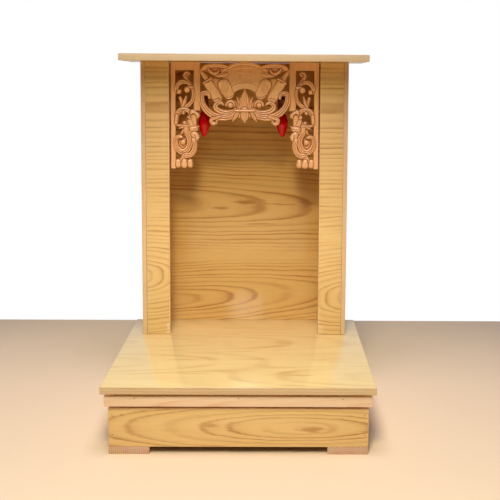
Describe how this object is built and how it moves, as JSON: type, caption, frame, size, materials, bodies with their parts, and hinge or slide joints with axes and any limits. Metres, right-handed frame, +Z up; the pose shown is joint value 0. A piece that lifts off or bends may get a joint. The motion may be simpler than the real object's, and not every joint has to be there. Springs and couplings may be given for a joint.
{
  "type": "household altar cabinet",
  "caption": "Open-fronted wooden altar cabinet: a niche with a flat roof, a pierced carved valance and brackets, on a broad low base that stands on runners.",
  "frame": {"origin": "on the surface the cabinet stands on, under the middle of its bounding box", "axes": "+Z up, -Y out of the open front towards the worshipper, +X to the right as seen from the front"},
  "size_m": [0.496, 0.405, 0.706],
  "materials": {
    "board": "veneered board, clear gloss lacquer",
    "roof": "veneered board, clear gloss lacquer",
    "back": "thin veneered board, clear gloss lacquer",
    "pine": "solid straight-grained strip, satin lacquer",
    "runner": "sawn, unfinished",
    "carving": "carved, satin lacquer",
    "lamp": "red glass, polished",
    "holder": "moulded, matte"
  },
  "bodies": {
    "root": {"runner_right": "runner", "runner_left": "runner", "base_front_panel": "board", "base_side_panel_right": "board", "base_side_panel_left": "board", "base_back_panel": "board", "front_strip": "pine", "side_strip_right": "pine", "side_strip_left": "pine", "tabletop": "board", "side_panel_right": "board", "side_panel_left": "board", "front_stile_right": "board", "front_stile_left": "board", "back_panel": "back", "top_board": "roof", "carved_valance": "carving", "carved_bracket_left": "carving", "carved_bracket_right": "carving", "lamp_left": "lamp", "lamp_right": "lamp", "lamp_holder_left": "holder", "lamp_holder_right": "holder"}
  },
  "joints": []
}
